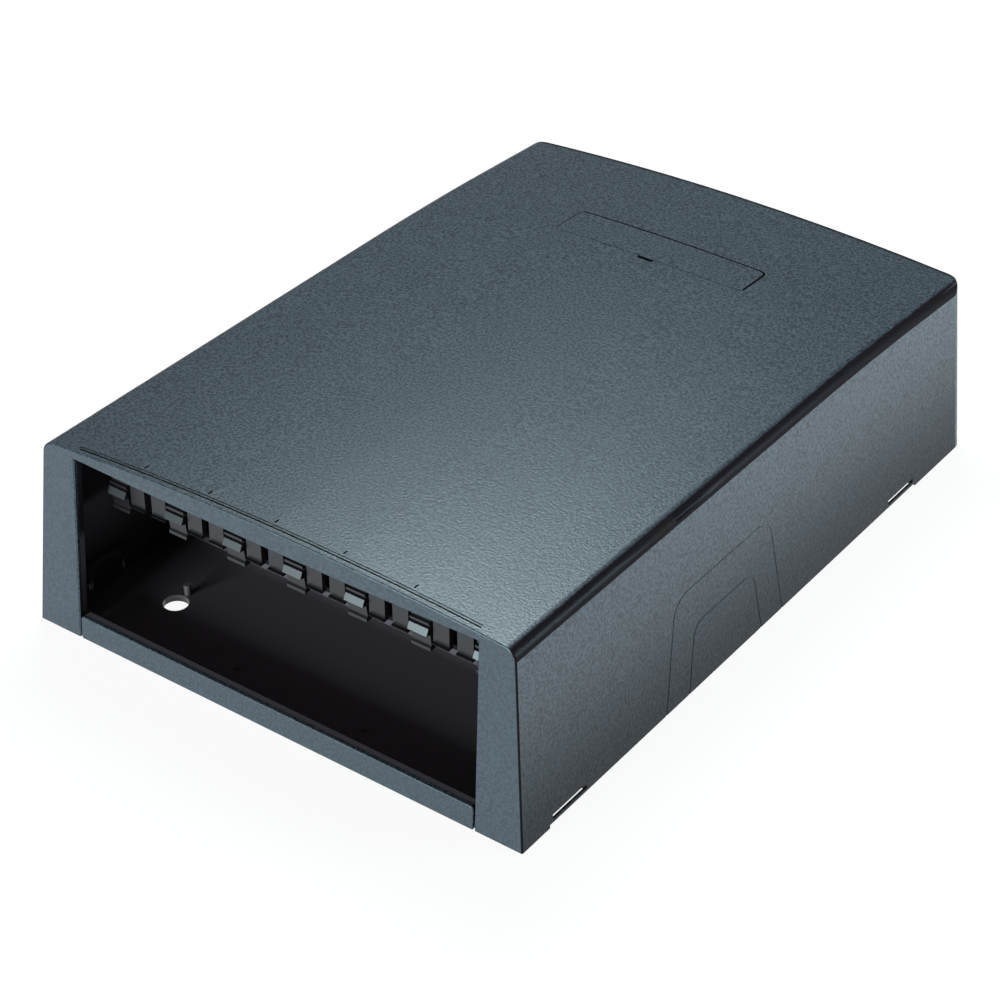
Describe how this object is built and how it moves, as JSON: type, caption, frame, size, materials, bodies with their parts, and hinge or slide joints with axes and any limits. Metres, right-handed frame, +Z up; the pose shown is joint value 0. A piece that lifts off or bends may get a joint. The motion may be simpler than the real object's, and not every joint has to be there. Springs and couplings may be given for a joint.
{
  "type": "surface mount data module box housing",
  "caption": "Empty moulded box for two rows of data modules: crowned cover with a wide front opening, clipped base with fixing holes, label plate in the roof.",
  "frame": {"origin": "middle of the footprint at the height of the surface that the base rests on", "axes": "+Z up out of the roof, -Y out of the front opening, +X to the right of someone who looks into the opening"},
  "size_m": [0.125, 0.1758, 0.0471],
  "materials": {
    "base_plastic": "charcoal ABS, fine spark-eroded texture",
    "cover_plastic": "charcoal ABS, fine spark-eroded texture with a soft sheen",
    "label_plastic": "charcoal ABS, fine spark-eroded texture"
  },
  "bodies": {
    "base": {"base": "base_plastic"},
    "cover": {"cover": "cover_plastic"},
    "label_plate": {"label_plate": "label_plastic"}
  },
  "joints": [
    {"name": "cover_lift", "type": "slide", "parent": "base", "child": "cover", "axis": [0, 0, 1], "range_m": [0, 0.04]},
    {"name": "label_lift", "type": "slide", "parent": "cover", "child": "label_plate", "axis": [0, 0, 1], "range_m": [0, 0.006]}
  ]
}
